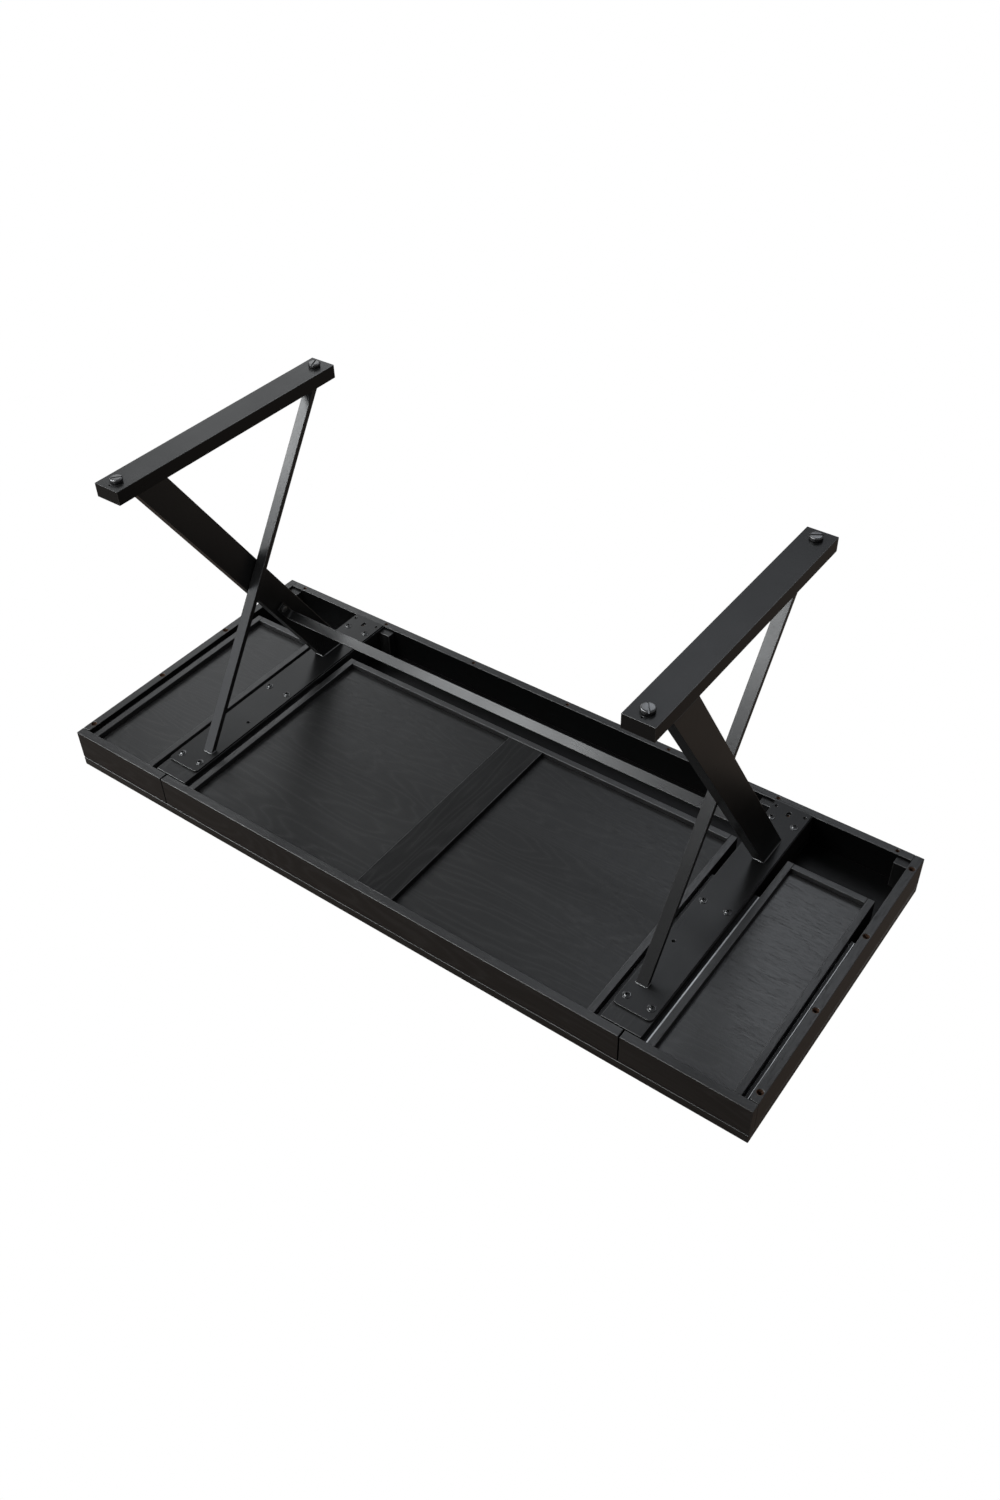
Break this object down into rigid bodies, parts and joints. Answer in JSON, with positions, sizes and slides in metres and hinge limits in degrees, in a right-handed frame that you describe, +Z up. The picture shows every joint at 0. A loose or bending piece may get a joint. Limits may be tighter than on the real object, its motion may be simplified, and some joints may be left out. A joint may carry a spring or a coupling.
{
  "type": "desk table with drawers",
  "caption": "Rectangular desk with a thin top over a shallow box of flush, handle-free drawers on X-shaped steel leg frames, joined by a flat stretcher.",
  "frame": {"origin": "centre of the footprint, on the floor", "axes": "+Z up, the table standing on its feet; +X to the right of a user who sits at the drawer side; +Y from that user towards the back of the table"},
  "size_m": [1.6, 0.67, 0.768],
  "materials": {
    "black_oak": "black-stained open-grain oak, satin",
    "black_steel": "satin black powder coat",
    "zinc_steel": "zinc plated",
    "gunmetal_steel": "dark plated steel"
  },
  "bodies": {
    "table": {"back_rail": "black_oak", "centre_drawer_left_slide_cabinet_member": "zinc_steel", "centre_drawer_right_slide_cabinet_member": "zinc_steel", "left_divider": "black_oak", "left_drawer_left_slide_cabinet_member": "zinc_steel", "left_drawer_right_slide_cabinet_member": "zinc_steel", "left_floor_bar": "black_steel", "left_inner_corner_block": "black_oak", "left_mounting_plate": "black_steel", "left_narrow_leg": "black_steel", "left_outer_corner_block": "black_oak", "left_side_rail": "black_oak", "left_stretcher_bolt": "gunmetal_steel", "left_wide_leg": "black_steel", "right_divider": "black_oak", "right_drawer_left_slide_cabinet_member": "zinc_steel", "right_drawer_right_slide_cabinet_member": "zinc_steel", "right_floor_bar": "black_steel", "right_inner_corner_block": "black_oak", "right_mounting_plate": "black_steel", "right_narrow_leg": "black_steel", "right_outer_corner_block": "black_oak", "right_side_rail": "black_oak", "right_stretcher_bolt": "gunmetal_steel", "right_wide_leg": "black_steel", "stretcher": "black_steel", "tabletop": "black_oak"},
    "left_drawer": {"left_drawer_front": "black_oak", "left_drawer_left_wall": "black_oak", "left_drawer_right_wall": "black_oak", "left_drawer_back": "black_oak", "left_drawer_bottom": "black_oak", "left_drawer_left_slide_drawer_member": "zinc_steel", "left_drawer_right_slide_drawer_member": "zinc_steel"},
    "left_runners": {"left_drawer_left_slide_middle_member": "zinc_steel", "left_drawer_right_slide_middle_member": "zinc_steel"},
    "centre_drawer": {"centre_drawer_front": "black_oak", "centre_drawer_left_wall": "black_oak", "centre_drawer_right_wall": "black_oak", "centre_drawer_back": "black_oak", "centre_drawer_bottom": "black_oak", "centre_drawer_rib": "black_oak", "centre_drawer_left_slide_drawer_member": "zinc_steel", "centre_drawer_right_slide_drawer_member": "zinc_steel"},
    "centre_runners": {"centre_drawer_left_slide_middle_member": "zinc_steel", "centre_drawer_right_slide_middle_member": "zinc_steel"},
    "right_drawer": {"right_drawer_front": "black_oak", "right_drawer_left_wall": "black_oak", "right_drawer_right_wall": "black_oak", "right_drawer_back": "black_oak", "right_drawer_bottom": "black_oak", "right_drawer_left_slide_drawer_member": "zinc_steel", "right_drawer_right_slide_drawer_member": "zinc_steel"},
    "right_runners": {"right_drawer_left_slide_middle_member": "zinc_steel", "right_drawer_right_slide_middle_member": "zinc_steel"},
    "left_front_leveller": {"left_front_leveller": "gunmetal_steel"},
    "left_back_leveller": {"left_back_leveller": "gunmetal_steel"},
    "right_front_leveller": {"right_front_leveller": "gunmetal_steel"},
    "right_back_leveller": {"right_back_leveller": "gunmetal_steel"}
  },
  "joints": [
    {"name": "left_drawer_slide", "type": "slide", "parent": "table", "child": "left_drawer", "axis": [0, -1, 0], "range_m": [0, 0.38]},
    {"name": "centre_drawer_slide", "type": "slide", "parent": "table", "child": "centre_drawer", "axis": [0, -1, 0], "range_m": [0, 0.38]},
    {"name": "right_drawer_slide", "type": "slide", "parent": "table", "child": "right_drawer", "axis": [0, -1, 0], "range_m": [0, 0.38]},
    {"name": "left_runner_slide", "type": "slide", "parent": "table", "child": "left_runners", "axis": [0, -1, 0], "range_m": [0, 0.19]},
    {"name": "centre_runner_slide", "type": "slide", "parent": "table", "child": "centre_runners", "axis": [0, -1, 0], "range_m": [0, 0.19]},
    {"name": "right_runner_slide", "type": "slide", "parent": "table", "child": "right_runners", "axis": [0, -1, 0], "range_m": [0, 0.19]},
    {"name": "left_front_leveller_screw", "type": "slide", "parent": "table", "child": "left_front_leveller", "axis": [0, 0, -1], "range_m": [0, 0.012]},
    {"name": "left_back_leveller_screw", "type": "slide", "parent": "table", "child": "left_back_leveller", "axis": [0, 0, -1], "range_m": [0, 0.012]},
    {"name": "right_front_leveller_screw", "type": "slide", "parent": "table", "child": "right_front_leveller", "axis": [0, 0, -1], "range_m": [0, 0.012]},
    {"name": "right_back_leveller_screw", "type": "slide", "parent": "table", "child": "right_back_leveller", "axis": [0, 0, -1], "range_m": [0, 0.012]}
  ],
  "couplings": [
    {"joint": "left_runner_slide", "follows": "left_drawer_slide", "ratio": 0.5},
    {"joint": "centre_runner_slide", "follows": "centre_drawer_slide", "ratio": 0.5},
    {"joint": "right_runner_slide", "follows": "right_drawer_slide", "ratio": 0.5}
  ]
}
